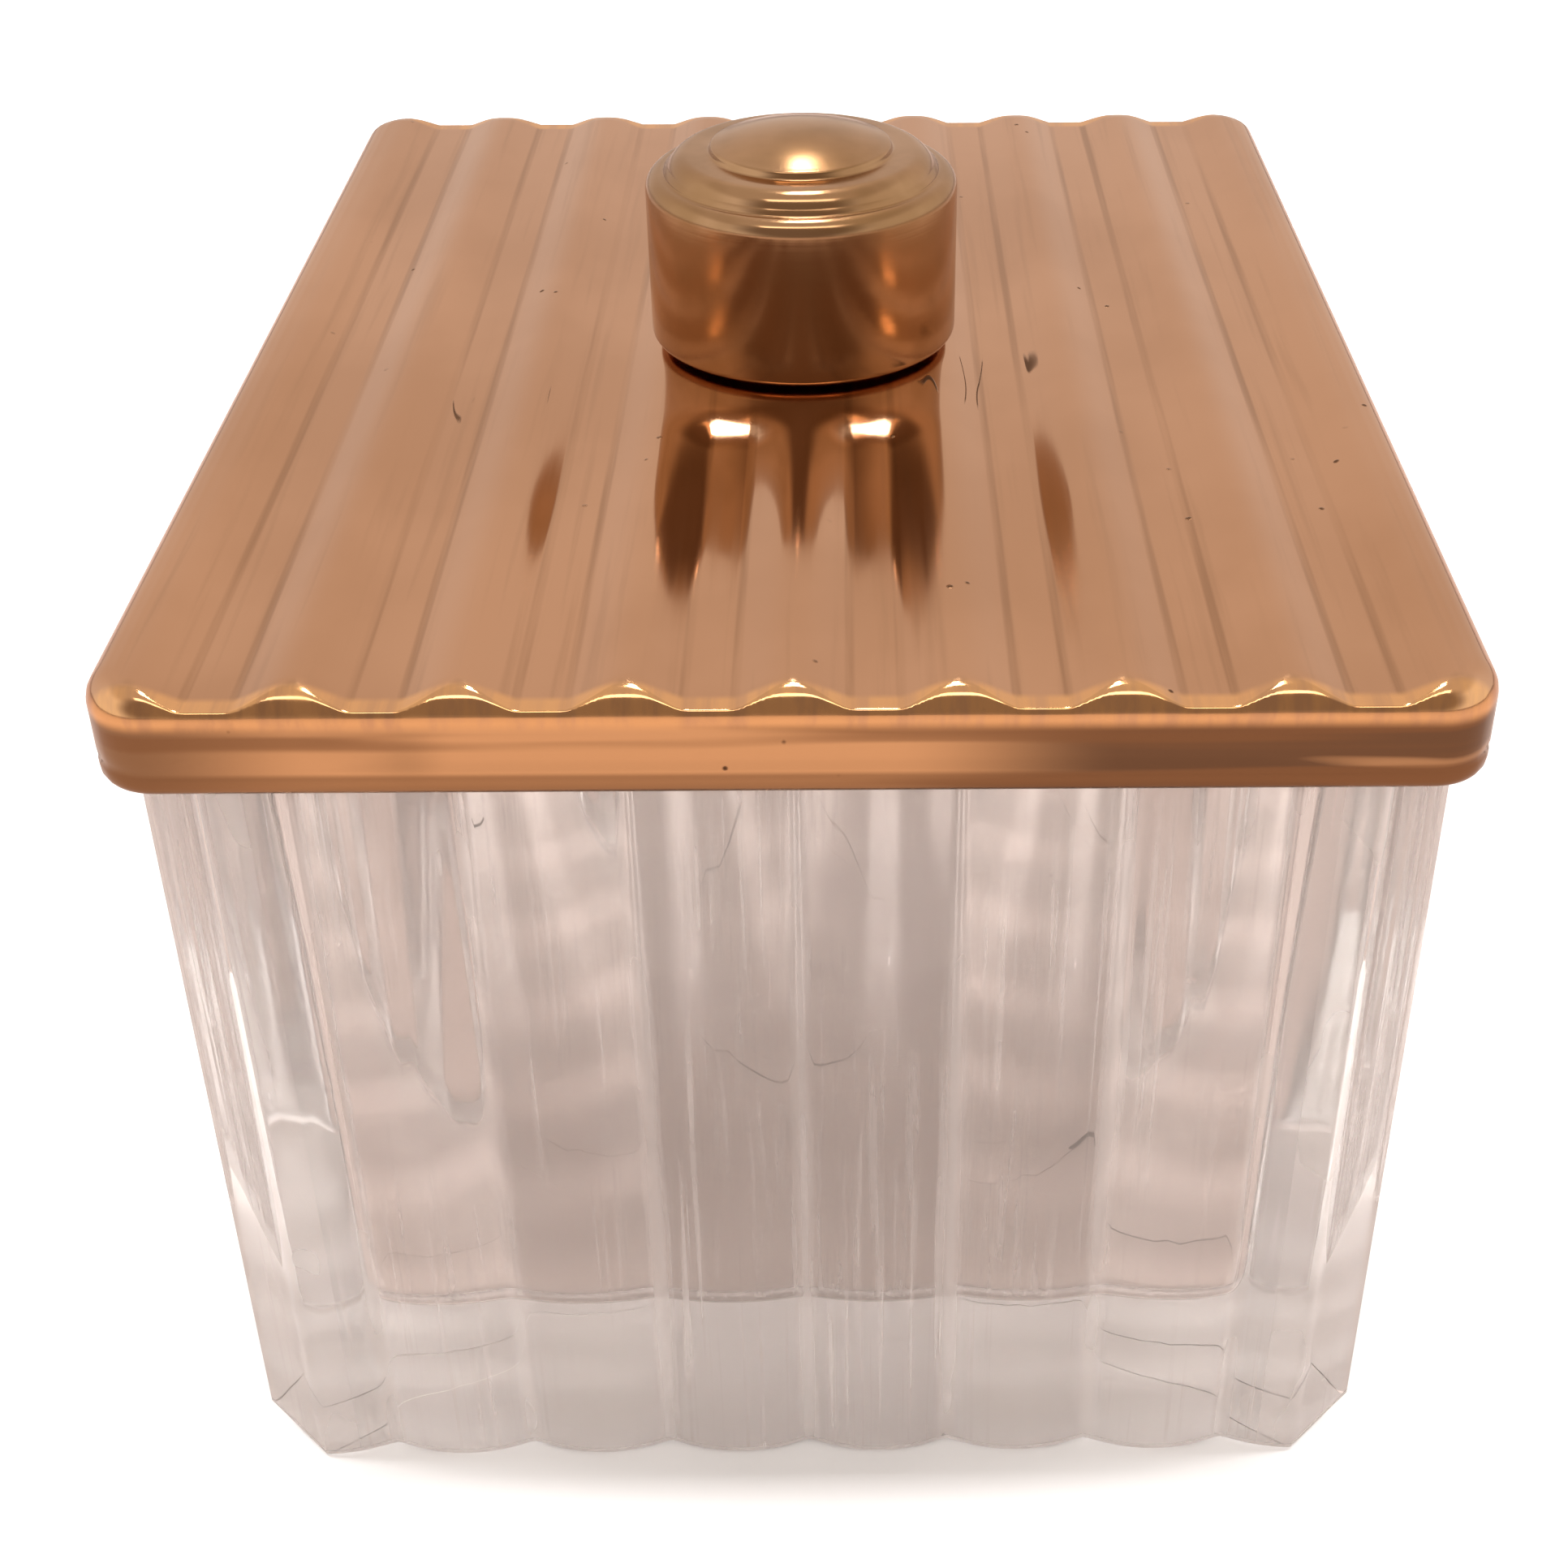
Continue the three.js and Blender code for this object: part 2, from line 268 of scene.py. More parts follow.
def glass_rings():
    """Rings of points from near the middle of the base, up the outside, over the rim and inside."""
    outline = glass_outline()
    inward = inward_normals(outline)
    counts = [FLUTES_ALONG * FLUTE_STEPS + 1, FLUTES_ACROSS * FLUTE_STEPS + 1] * 2
    rings = []

    def outer(inset, z):
        """Add a ring along the fluted outline."""
        rings.append(np.column_stack([outline + inward * inset, np.full(len(outline), z)]))

    def inner(inset, z):
        """Add a ring along the plain outline of the cavity."""
        cavity = cavity_outline(inset, counts)
        rings.append(np.column_stack([cavity, np.full(len(cavity), z)]))

    outer(BASE_EDGE_RADIUS * 3, 0)
    rings[:0] = shrinking_rings(rings[0], UNDERSIDE_SHARES)
    base_edge = (BASE_EDGE_RADIUS, BASE_EDGE_RADIUS)
    for x, z in arc_points(base_edge, BASE_EDGE_RADIUS, 270, 180, BASE_EDGE_STEPS):
        outer(x, z)
    for share in WALL_SHARES:
        outer(0, GLASS_TOP * share)
    outer_rim = (RIM_RADIUS, GLASS_TOP - RIM_RADIUS)
    for x, z in arc_points(outer_rim, RIM_RADIUS, 180, 90, RIM_STEPS):
        outer(x, z)
    inner_rim = (WALL_AT_RIM - RIM_RADIUS, GLASS_TOP - RIM_RADIUS)
    for x, z in arc_points(inner_rim, RIM_RADIUS, 90, 0, RIM_STEPS):
        inner(x, z)
    for share in WALL_SHARES:
        z = GLASS_TOP + (BASE_THICKNESS - GLASS_TOP) * share
        inner(WALL_AT_RIM + (WALL_AT_FLOOR - WALL_AT_RIM) * share, z)
    floor_edge = (WALL_AT_FLOOR + CAVITY_FLOOR_RADIUS, BASE_THICKNESS + CAVITY_FLOOR_RADIUS)
    for x, z in arc_points(floor_edge, CAVITY_FLOOR_RADIUS, 180, 270, CAVITY_EDGE_STEPS):
        inner(x, z)
    rings += shrinking_rings(rings[-1], FLOOR_SHARES)
    return rings


def make_glass(material):
    """The box: its rings of points joined in order, and closed under the base and on the floor."""
    rings = glass_rings()
    count = len(rings[0])
    vertices = np.concatenate(rings)
    faces = []
    for index in range(len(rings) - 1):
        faces += ring_faces(count, index * count, (index + 1) * count)
    last = (len(rings) - 1) * count
    faces.append(tuple(range(count))[::-1])
    faces.append(tuple(range(last, last + count)))
    return piece("fluted_glass", vertices, faces, material, "box", "glass_box")


# ---- Lid ----

FLANK_STEPS = 9
VALLEY_STEPS = 7
OUTER_STEPS = 6
ROW_PITCH = 0.6 * MM
EDGE_STEPS = 14
SKIRT_STEPS = 6
HEM_STEPS = 6


def smoothstep(t):
    """0 up to 0, 1 from 1, and a smooth rise between."""
    t = np.clip(t, 0, 1)
    return t * t * (3 - 2 * t)


def pad_share(x, y):
    """1 on the flat pad under the knob, 0 away from it, with a scooped end at each valley."""
    along = 1 - smoothstep((np.abs(y) - PAD_HALF_Y) / PAD_RAMP)
    return np.where(np.abs(x) < PAD_HALF_X, along, 0)


def ridge_height(x, y):
    """Height of the pressed sheet's upper face, before its rounded edge."""
    from_ridge = np.abs(x / RIDGE_PITCH - np.round(x / RIDGE_PITCH))
    along = np.minimum(from_ridge / RIDGE_REACH, 1)
    drop = VALLEY_DEPTH * along ** 2 * (2 - along)
    drop = np.where(np.abs(x) > OUTER_RIDGE, 0, drop)
    return RIDGE_TOP - drop * (1 - pad_share(x, y))


def soft_min(a, b, softness):
    """The lesser of two heights, rounded where they are nearly equal."""
    return (a + b - np.sqrt((a - b) ** 2 + softness ** 2)) / 2


def lid_columns(half_x):
    """X of every column: even steps on each flank and valley, with one on each crease."""
    reach = RIDGE_REACH * RIDGE_PITCH
    pitch = [np.linspace(0, reach, FLANK_STEPS + 1)[:-1]]
    pitch.append(np.linspace(reach, RIDGE_PITCH - reach, VALLEY_STEPS + 1)[:-1])
    pitch.append(np.linspace(RIDGE_PITCH - reach, RIDGE_PITCH, FLANK_STEPS + 1)[:-1])
    pitch = np.concatenate(pitch)
    ridges = round(2 * OUTER_RIDGE / RIDGE_PITCH)
    inner = np.concatenate([-OUTER_RIDGE + ridge * RIDGE_PITCH + pitch for ridge in range(ridges)])
    right = np.linspace(OUTER_RIDGE, half_x, OUTER_STEPS + 1)
    return np.concatenate([-right[::-1], inner[1:], right])


def lid_grid(half_x, half_y, corner):
    """Grid points that fill a rounded rectangle, as an array [row, column, xy]."""
    rows = 2 * round(half_y / ROW_PITCH) + 1
    x, y = np.meshgrid(lid_columns(half_x), np.linspace(-half_y, half_y, rows))
    u = (np.abs(x) - (half_x - corner)) / corner
    v = (np.abs(y) - (half_y - corner)) / corner
    inside = (u > 0) & (v > 0)
    round_x = half_x - corner + corner * u * np.sqrt(np.maximum(0, 1 - v * v / 2))
    round_y = half_y - corner + corner * v * np.sqrt(np.maximum(0, 1 - u * u / 2))
    x = np.where(inside, np.sign(x) * round_x, x)
    y = np.where(inside, np.sign(y) * round_y, y)
    return np.stack([x, y], axis=2)


def border_indices(rows, columns):
    """Indices of a grid's border, counter-clockwise from its first corner."""
    bottom = list(range(columns - 1))
    right = [row * columns + columns - 1 for row in range(rows - 1)]
    top = [(rows - 1) * columns + column for column in range(columns - 1, 0, -1)]
    left = [row * columns for row in range(rows - 1, 0, -1)]
    return bottom + right + top + left


def border_normals(points, half_x, half_y, corner):
    """Outward unit normals of points on a rounded rectangle."""
    flat = 1e-9
    centre = np.stack([
        np.clip(points[:, 0], -(half_x - corner), half_x - corner),
        np.clip(points[:, 1], -(half_y - corner), half_y - corner),
    ], axis=1)
    out = points - centre
    out[np.abs(out) < flat] = 0
    return out / np.linalg.norm(out, axis=1)[:, None]


def edge_path():
    """[outward offset, height] pairs from the top grid's border, down the skirt and back inside.

    Also how many of them are on the outside, before the path turns in at the hem.
    """
    reach = EDGE_RADIUS
    low = SKIRT_BOTTOM + HEM_RADIUS
    high = RIDGE_TOP - EDGE_RADIUS
    crease = SKIRT_BOTTOM + CREASE_HEIGHT
    above_crease = np.linspace(high, crease + 3 * CREASE_DEPTH, SKIRT_STEPS - 1)[1:]
    hem = (reach - HEM_RADIUS, low)

    path = arc_points((0, high), EDGE_RADIUS, 90, 0, EDGE_STEPS)[1:]
    path += [[reach, z] for z in above_crease]
    path += [[reach - CREASE_DEPTH, crease], [reach, crease - 3 * CREASE_DEPTH], [reach, low]]
    path += arc_points(hem, HEM_RADIUS, 0, -90, HEM_STEPS)[1:]
    outside = len(path)
    path += arc_points(hem, HEM_RADIUS - SHEET, -90, 0, HEM_STEPS)
    path += [[reach - SHEET, z] for z in np.linspace(low, high, SKIRT_STEPS + 1)[1:]]
    path += arc_points((0, high), EDGE_RADIUS - SHEET, 0, 90, EDGE_STEPS)[1:-1]
    return path, outside


def lid_faces(rows, columns, border, rings, under):
    """Faces of the lid: its upper and lower grids, and the rings of the edge between them.

    The vertices are the upper grid's, then each ring's, then the lower grid's from index under.
    """
    faces = []
    for row in range(rows - 1):
        for column in range(columns - 1):
            first = row * columns + column
            quad = (first, first + 1, first + columns + 1, first + columns)
            faces.append(quad)
            faces.append(tuple(under + i for i in quad[::-1]))
    count = len(border)
    loops = [border]
    loops += [[rows * columns + ring * count + i for i in range(count)] for ring in range(rings)]
    loops.append([under + i for i in border])
    for near, far in zip(loops, loops[1:]):
        for i in range(count):
            j = (i + 1) % count
            faces.append((near[i], far[i], far[j], near[j]))
    return faces


def make_lid(material):
    """The lid: a ridged grid, its rounded edge, skirt and hem, and the same again inside."""
    half_x = LID_HALF_X - EDGE_RADIUS
    half_y = LID_HALF_Y - EDGE_RADIUS
    corner = PLAN_CORNER_RADIUS - EDGE_RADIUS
    grid = lid_grid(half_x, half_y, corner)
    rows, columns = grid.shape[:2]
    flat = grid.reshape(-1, 2)
    height = ridge_height(flat[:, 0], flat[:, 1])
    border = border_indices(rows, columns)
    normals = border_normals(flat[border], half_x, half_y, corner)

    sheets = [np.column_stack([flat, height])]
    path, outside = edge_path()
    for index, (offset, z) in enumerate(path):
        spot = flat[border] + normals * offset
        surface = ridge_height(spot[:, 0], spot[:, 1]) - (0 if index < outside else SHEET)
        sheets.append(np.column_stack([spot, soft_min(z, surface, EDGE_SOFTNESS)]))
    sheets.append(np.column_stack([flat, height - SHEET]))

    vertices = np.concatenate(sheets)
    faces = lid_faces(rows, columns, border, len(path), len(vertices) - len(flat))
    return piece("ridged_lid", vertices, faces, material, "lid", "lid_shell")


# ---- Knob ----

# In millimetres, from the knob's axis and above the pad

KNOB_SIDE = 13
KNOB_FOOT_RADIUS = 10
KNOB_FOOT_HEIGHT = 0.3
KNOB_FOOT_BEVEL = 0.2
KNOB_LOWER_ROUND = 0.7
KNOB_SHOULDER_Z = 14.25
KNOB_SHOULDER_ROUND = 1.3
KNOB_STEP_RADIUS = 11.15
KNOB_STEP_Z = 15.85
KNOB_STEP_ROUND = 1.75
KNOB_GROOVE = 0.2                     # radius of the fine grooves below the step and the dome
KNOB_DOME_EDGE = 7.5
KNOB_DOME_LIP = 0.35
KNOB_DOME_RISE = 1.45
KNOB_TOP = 17.87

KNOB_SEGMENTS = 160
SIDE_HEIGHTS = np.linspace(4, 11, 4)
ROUND_STEPS = 12
LOWER_STEPS = 8
GROOVE_STEPS = 3
LIP_STEPS = 4
DOME_STEPS = 14


def knob_profile():
    """[radius, height above the pad] pairs from the foot's middle to the top of the dome."""
    lower_edge = (KNOB_SIDE - KNOB_LOWER_ROUND, KNOB_FOOT_HEIGHT + KNOB_LOWER_ROUND)
    shoulder = (KNOB_SIDE - KNOB_SHOULDER_ROUND, KNOB_SHOULDER_Z - KNOB_SHOULDER_ROUND)
    shoulder_groove = (KNOB_STEP_RADIUS + 0.45, KNOB_SHOULDER_Z + KNOB_GROOVE)
    step = (KNOB_STEP_RADIUS - KNOB_STEP_ROUND, KNOB_STEP_Z - KNOB_STEP_ROUND)
    dome_groove = (KNOB_DOME_EDGE + 0.3, KNOB_STEP_Z + 0.25)
    dome_lip = (KNOB_DOME_EDGE - 0.3, KNOB_STEP_Z + KNOB_DOME_LIP)
    sphere = (KNOB_DOME_EDGE ** 2 + KNOB_DOME_RISE ** 2) / (2 * KNOB_DOME_RISE)

    mm = [[0, 0], [KNOB_FOOT_RADIUS - KNOB_FOOT_BEVEL, 0]]
    mm += [[KNOB_FOOT_RADIUS, KNOB_FOOT_BEVEL / 2], [KNOB_FOOT_RADIUS, KNOB_FOOT_HEIGHT]]
    mm += arc_points(lower_edge, KNOB_LOWER_ROUND, 270, 360, LOWER_STEPS)
    mm += [[KNOB_SIDE, z] for z in SIDE_HEIGHTS]
    mm += arc_points(shoulder, KNOB_SHOULDER_ROUND, 0, 85, ROUND_STEPS)
    mm += arc_points(shoulder_groove, KNOB_GROOVE, 250, 170, GROOVE_STEPS)
    mm += arc_points(step, KNOB_STEP_ROUND, 20, 88, ROUND_STEPS)
    mm += [[KNOB_DOME_EDGE + 1.1, KNOB_STEP_Z + 0.02], [KNOB_DOME_EDGE + 0.45, KNOB_STEP_Z + 0.03]]
    mm += arc_points(dome_groove, KNOB_GROOVE, 270, 190, GROOVE_STEPS)
    mm += arc_points(dome_lip, KNOB_DOME_LIP, 10, 60, LIP_STEPS)
    mm += [
        [r, KNOB_TOP - sphere + math.sqrt(sphere ** 2 - r * r)]
        for r in np.linspace(KNOB_DOME_EDGE - 0.3, 0, DOME_STEPS)
    ]
    return [[r * MM, z * MM] for r, z in mm]


def make_knob(material):
    """The knob: its profile turned about the lid's middle, on the pad."""
    vertices, faces = lathe(knob_profile(), KNOB_SEGMENTS)
    lifted = [(x, y, z + KNOB_FOOT_Z) for x, y, z in vertices]
    return piece("round_knob", lifted, faces, material, "lid", "lid_knob")


# ---- Materials ----

def new_material(name):
    """A material, its node tree and its main shader."""
    material = bpy.data.materials.new(name)
    material.use_nodes = True
    tree = material.node_tree
    return material, tree, tree.nodes["Principled BSDF"]


def feed(tree, socket, value):
    """Link a socket to another, or give it a number or a colour."""
    if isinstance(value, bpy.types.NodeSocket):
        tree.links.new(value, socket)
    elif isinstance(value, tuple):
        socket.default_value = (*value, 1)
    else:
        socket.default_value = value


def noise(tree, cells, detail=3):
    """Noise in the piece's own coordinates, with cells per metre along X, Y and Z."""
    place = tree.nodes.new("ShaderNodeTexCoord")
    stretch = tree.nodes.new("ShaderNodeMapping")
    texture = tree.nodes.new("ShaderNodeTexNoise")
    stretch.inputs["Scale"].default_value = cells
    texture.inputs["Scale"].default_value = 1
    texture.inputs["Detail"].default_value = detail
    tree.links.new(place.outputs["Object"], stretch.inputs["Vector"])
    tree.links.new(stretch.outputs["Vector"], texture.inputs["Vector"])
    return texture.outputs["Fac"]


def speckle(tree, cells):
    """Distance from the nearest of many scattered points, in cells."""
    place = tree.nodes.new("ShaderNodeTexCoord")
    texture = tree.nodes.new("ShaderNodeTexVoronoi")
    texture.inputs["Scale"].default_value = cells
    tree.links.new(place.outputs["Object"], texture.inputs["Vector"])
    return texture.outputs["Distance"]


def coordinate(tree, axis):
    """X, Y or Z in the piece's own coordinates."""
    place = tree.nodes.new("ShaderNodeTexCoord")
    split = tree.nodes.new("ShaderNodeSeparateXYZ")
    tree.links.new(place.outputs["Object"], split.inputs["Vector"])
    return split.outputs[axis]


def from_middle(tree, axis):
    """Distance from the middle of the piece along X or Y."""
    return combine(tree, "ABSOLUTE", coordinate(tree, axis), 0.0)


def spread(tree, value, low, high, low_result=0.0, high_result=1.0):
    """Map low..high smoothly to low_result..high_result, and hold it outside."""
    node = tree.nodes.new("ShaderNodeMapRange")
    node.interpolation_type = "SMOOTHSTEP"
    tree.links.new(value, node.inputs["Value"])
    node.inputs["From Min"].default_value = low
    node.inputs["From Max"].default_value = high
    node.inputs["To Min"].default_value = low_result
    node.inputs["To Max"].default_value = high_result
    return node.outputs["Result"]


def combine(tree, operation, first, second):
    """A number from two by a Math operation."""
    node = tree.nodes.new("ShaderNodeMath")
    node.operation = operation
    feed(tree, node.inputs[0], first)
    feed(tree, node.inputs[1], second)
    return node.outputs["Value"]


def blend(tree, factor, first, second):
    """A colour between first and second."""
    node = tree.nodes.new("ShaderNodeMix")
    node.data_type = "RGBA"
    feed(tree, node.inputs[0], factor)
    feed(tree, node.inputs[6], first)
    feed(tree, node.inputs[7], second)
    return node.outputs[2]


def bump(tree, shader, height, depth):
    """Relief of a height texture, depth metres from its 0 to its 1, on top of any that is there."""
    node = tree.nodes.new("ShaderNodeBump")
    node.inputs["Distance"].default_value = depth
    tree.links.new(height, node.inputs["Height"])
    normal = shader.inputs["Normal"]
    if normal.is_linked:
        tree.links.new(normal.links[0].from_socket, node.inputs["Normal"])
    tree.links.new(node.outputs["Normal"], normal)


def thin_line(tree, value, middle, half_width):
    """1 where a texture is within half_width of a value, so a thin wandering line."""
    off = combine(tree, "ABSOLUTE", combine(tree, "SUBTRACT", value, middle), 0.0)
    return spread(tree, off, half_width * 0.4, half_width, 1.0, 0.0)


def let_lamps_through(tree, shader, tint):
    """Lamp light crosses the glass straight, tinted, so what stands in and under it is lit."""
    path = tree.nodes.new("ShaderNodeLightPath")
    clear = tree.nodes.new("ShaderNodeBsdfTransparent")
    feed(tree, clear.inputs["Color"], tint)
    mix = tree.nodes.new("ShaderNodeMixShader")
    tree.links.new(path.outputs["Is Shadow Ray"], mix.inputs["Fac"])
    tree.links.new(shader.outputs["BSDF"], mix.inputs[1])
    tree.links.new(clear.outputs["BSDF"], mix.inputs[2])
    tree.links.new(mix.outputs["Shader"], tree.nodes["Material Output"].inputs["Surface"])


WALL_MARGIN = 0.5 * MM                # from a wall's inner face, into the cavity


def on_walls(tree):
    """1 on the side walls, and 1 on the front and back walls, each 0 elsewhere."""
    masks = []
    for axis, half in (("X", GLASS_HALF_X), ("Y", GLASS_HALF_Y)):
        inner = half - WALL_AT_FLOOR - WALL_MARGIN
        masks.append(spread(tree, from_middle(tree, axis), inner, inner + 0.1 * MM))
    return masks


def across_flutes(tree):
    """Place across a flute, 0 in the grooves beside it and 1 on its crest, and 1 off the walls."""
    half_across = (GLASS_HALF_X - CORNER_LEG) / FLUTES_ACROSS
    half_along = (GLASS_HALF_Y - CORNER_LEG) / FLUTES_ALONG
    shares = []
    for axis, half_width in (("X", half_across), ("Y", half_along)):
        from_groove = combine(tree, "PINGPONG", coordinate(tree, axis), half_width)
        shares.append(spread(tree, from_groove, 0, half_width))
    on_side, on_end = on_walls(tree)
    share = blend(tree, on_side, shares[0], shares[1])
    return blend(tree, combine(tree, "MAXIMUM", on_side, on_end), (1, 1, 1), share)


def glass_wear(tree, haze):
    """Fine upright scratches on the walls, as a texture, and how worn the glass is by them."""
    walls = combine(tree, "MAXIMUM", *on_walls(tree))
    wear = combine(tree, "MULTIPLY", noise(tree, (1500, 1500, 24), 4), walls)
    worn = combine(tree, "MULTIPLY", spread(tree, wear, 0.48, 0.70), spread(tree, haze, 0.40, 0.62))
    return wear, worn


def glass_material():
    """Pressed glass: faintly warm, with flow lines down its walls, worn walls and a worn foot."""
    material, tree, shader = new_material("clear_glass")
    shader.inputs["IOR"].default_value = 1.5
    flow = noise(tree, (240, 240, 20), 1)
    haze = noise(tree, (70, 70, 35), 3)
    seeds = spread(tree, speckle(tree, 80), 0.015, 0.035, 1.0, 0.0)
    wear, scratched = glass_wear(tree, haze)
    foot = spread(tree, coordinate(tree, "Z"), 0.3 * MM, 1.0 * MM, 1.0, 0.0)
    across = across_flutes(tree)
    patches = spread(tree, haze, 0.3, 0.6, 0.3, 1.0)
    grime = combine(tree, "MULTIPLY", spread(tree, across, 0.0, 0.12, 0.8, 0.0), patches)
    worn = combine(tree, "MAXIMUM", combine(tree, "MAXIMUM", scratched, foot), grime)

    feed(tree, shader.inputs["Base Color"], blend(tree, flow, GLASS_DEEP, GLASS_LIGHT))
    foot_roughness = spread(tree, foot, 0, 1, 0, 0.35)
    wall_roughness = spread(tree, wear, 0.4, 0.8, 0.02, 0.07)
    roughness = combine(tree, "MAXIMUM", wall_roughness, foot_roughness)
    feed(tree, shader.inputs["Roughness"], roughness)
    feed(tree, shader.inputs["Transmission Weight"], spread(tree, worn, 0.0, 1.0, 0.90, 0.66))
    bump(tree, shader, flow, 0.05 * MM)
    bump(tree, shader, seeds, 0.06 * MM)
    gathered = spread(tree, across, 0.35, 0.95)
    lamp_tint = blend(tree, gathered, LAMP_THROUGH_GROOVE, LAMP_THROUGH_CREST)
    let_lamps_through(tree, shader, lamp_tint)
    return material


def lid_marks(tree):
    """Small dark pits in a few clusters, and a rare thin drip line, as 0 or 1."""
    patch = noise(tree, (120, 60, 120), 3)
    pits = spread(tree, speckle(tree, 330), 0.05, 0.10, 1.0, 0.0)
    pits = combine(tree, "MULTIPLY", pits, spread(tree, patch, 0.56, 0.62))
    drips = thin_line(tree, noise(tree, (260, 36, 260), 1), 0.5, 0.008)
    rare = spread(tree, noise(tree, (75, 60, 75), 0), 0.76, 0.79)
    return combine(tree, "MAXIMUM", pits, combine(tree, "MULTIPLY", drips, rare))


def skirt_painted_reflection(tree):
    """Painted reflection and painted shade down the skirt: long level light and dark stripes, and
    painted shade towards its ends, darkest towards its right end, and below the crease at the hem.
    """
    x = coordinate(tree, "X")
    # painted shade towards both ends of the skirt, deepest towards the right end
    right = spread(tree, x, 6 * MM, 22 * MM, 1.0, 0.1)
    left = spread(tree, x, -44 * MM, -30 * MM, 0.3, 1.0)
    patches = spread(tree, noise(tree, (37, 37, 60), 2), 0.35, 0.5, 0.4, 1.0)
    lighter = combine(tree, "MULTIPLY", combine(tree, "MULTIPLY", left, right), patches)
    # lighter slivers and long level dark stripes of painted reflection
    slivers = spread(tree, noise(tree, (45, 45, 330), 1), 0.60, 0.66, 0.0, 0.6)
    lighter = combine(tree, "MAXIMUM", lighter, slivers)
    reflected_stripes = spread(tree, noise(tree, (14, 14, 380), 2), 0.44, 0.54, 0.0, 0.75)
    banded = blend(tree, reflected_stripes, blend(tree, lighter, SKIRT_PAINTED_SHADE, SKIRT_LIGHTER), SKIRT_DARK_REFLECTION)
    crease = SKIRT_BOTTOM + CREASE_HEIGHT
    # painted shade below the crease at the hem
    hem = spread(tree, coordinate(tree, "Z"), crease - 0.3 * MM, crease + 0.1 * MM, 0.65, 0.0)
    return blend(tree, hem, banded, SKIRT_DARK_REFLECTION)


def crease_shade_line(tree, streak):
    """A thin darker line painted along each crease between a ridge's flank and a valley, as painted
    shade.
    """
    from_ridge = combine(tree, "PINGPONG", coordinate(tree, "X"), RIDGE_PITCH / 2)
    line = thin_line(tree, from_ridge, RIDGE_REACH * RIDGE_PITCH, 0.45 * MM)
    return combine(tree, "MULTIPLY", line, spread(tree, streak, 0.35, 0.65, 0.1, 0.6))


def lid_material():
    """Pressed brass sheet: hazed along its ridges and pitted. It has painted shade along its creases,
    and brighter gold on its rounded front and back edge, partly rubbed wear and partly a painted
    highlight. Its skirt carries painted reflection and painted shade.
    """
    material, tree, shader = new_material("lid_brass")
    cloud = noise(tree, (42, 30, 42), 4)
    streak = noise(tree, (900, 26, 300), 4)
    marks = lid_marks(tree)

    brass = blend(tree, spread(tree, cloud, 0.35, 0.65), LID_POLISHED, LID_HAZED)
    brass = blend(tree, spread(tree, streak, 0.52, 0.75, 0.0, 0.35), brass, LID_STREAK)
    # painted shade: a darker line along each crease
    brass = blend(tree, crease_shade_line(tree, streak), brass, LID_CREASE_SHADE)
    # the front and back rounded edge turns brighter gold: partly rubbed wear, partly a painted highlight
    edge_starts = LID_HALF_Y - EDGE_RADIUS
    edge_sheen_full = LID_HALF_Y - EDGE_RADIUS * 0.6
    edge = spread(tree, from_middle(tree, "Y"), edge_starts, edge_sheen_full)
    rubbed_sheen = combine(tree, "MULTIPLY", edge, spread(tree, streak, 0.3, 0.6, 0.4, 1.0))
    brass = blend(tree, rubbed_sheen, brass, LID_RUBBED_EDGE_SHEEN)
    height = coordinate(tree, "Z")
    skirt = spread(tree, height, RIDGE_TOP - 3 * MM, RIDGE_TOP - 2 * MM, 1.0, 0.0)
    # the skirt gets its painted reflection and painted shade
    brass = blend(tree, skirt, brass, skirt_painted_reflection(tree))
    feed(tree, shader.inputs["Base Color"], blend(tree, marks, brass, LID_PIT))

    haze = spread(tree, combine(tree, "MULTIPLY", cloud, streak), 0.15, 0.40, 0.09, 0.17)
    rough_marks = combine(tree, "MULTIPLY", marks, 0.6)
    feed(tree, shader.inputs["Roughness"], combine(tree, "MAXIMUM", haze, rough_marks))
    shader.inputs["Metallic"].default_value = 1
    bump(tree, shader, noise(tree, (90, 35, 90), 1), 0.03 * MM)
    bump(tree, shader, streak, 0.002 * MM)
    bump(tree, shader, marks, 0.02 * MM)
    return material


def knob_material():
    """Turned brass: polished, with faint turning rings, smudges and a little tarnish."""
    material, tree, shader = new_material("knob_brass")
    smudge = noise(tree, (130, 130, 130), 4)
    rings = noise(tree, (40, 40, 2600), 2)
    specks = spread(tree, speckle(tree, 420), 0.05, 0.09, 1.0, 0.0)
    specks = combine(tree, "MULTIPLY", specks, spread(tree, smudge, 0.60, 0.66))
    brass = blend(tree, spread(tree, smudge, 0.35, 0.7), KNOB_POLISHED, KNOB_SMUDGED)
    feed(tree, shader.inputs["Base Color"], blend(tree, specks, brass, KNOB_SPECK))
    feed(tree, shader.inputs["Roughness"], spread(tree, smudge, 0.3, 0.7, 0.13, 0.24))
    shader.inputs["Metallic"].default_value = 1
    bump(tree, shader, rings, 0.004 * MM)
    return material


def plain_brass_material():
    """Unpolished brass of the screw and washer under the lid."""
    material, tree, shader = new_material("plain_brass")
    grain = noise(tree, (700, 700, 700), 4)
    stain = noise(tree, (160, 160, 160), 3)
    brass = blend(tree, spread(tree, stain, 0.35, 0.65), PLAIN_BRASS, PLAIN_BRASS_STAIN)
    feed(tree, shader.inputs["Base Color"], brass)
    feed(tree, shader.inputs["Roughness"], spread(tree, grain, 0.3, 0.7, 0.25, 0.5))
    shader.inputs["Metallic"].default_value = 1
    bump(tree, shader, grain, 0.01 * MM)
    return material


# ---- Stage ----

FLOOR_HALF = 6
FLOOR_Z = -0.2 * MM
VIEWER_RISE = math.radians(32)
LAMP_DISTANCE = 1.2
LAMP_AIM = Vector((0, 0, 0.06))


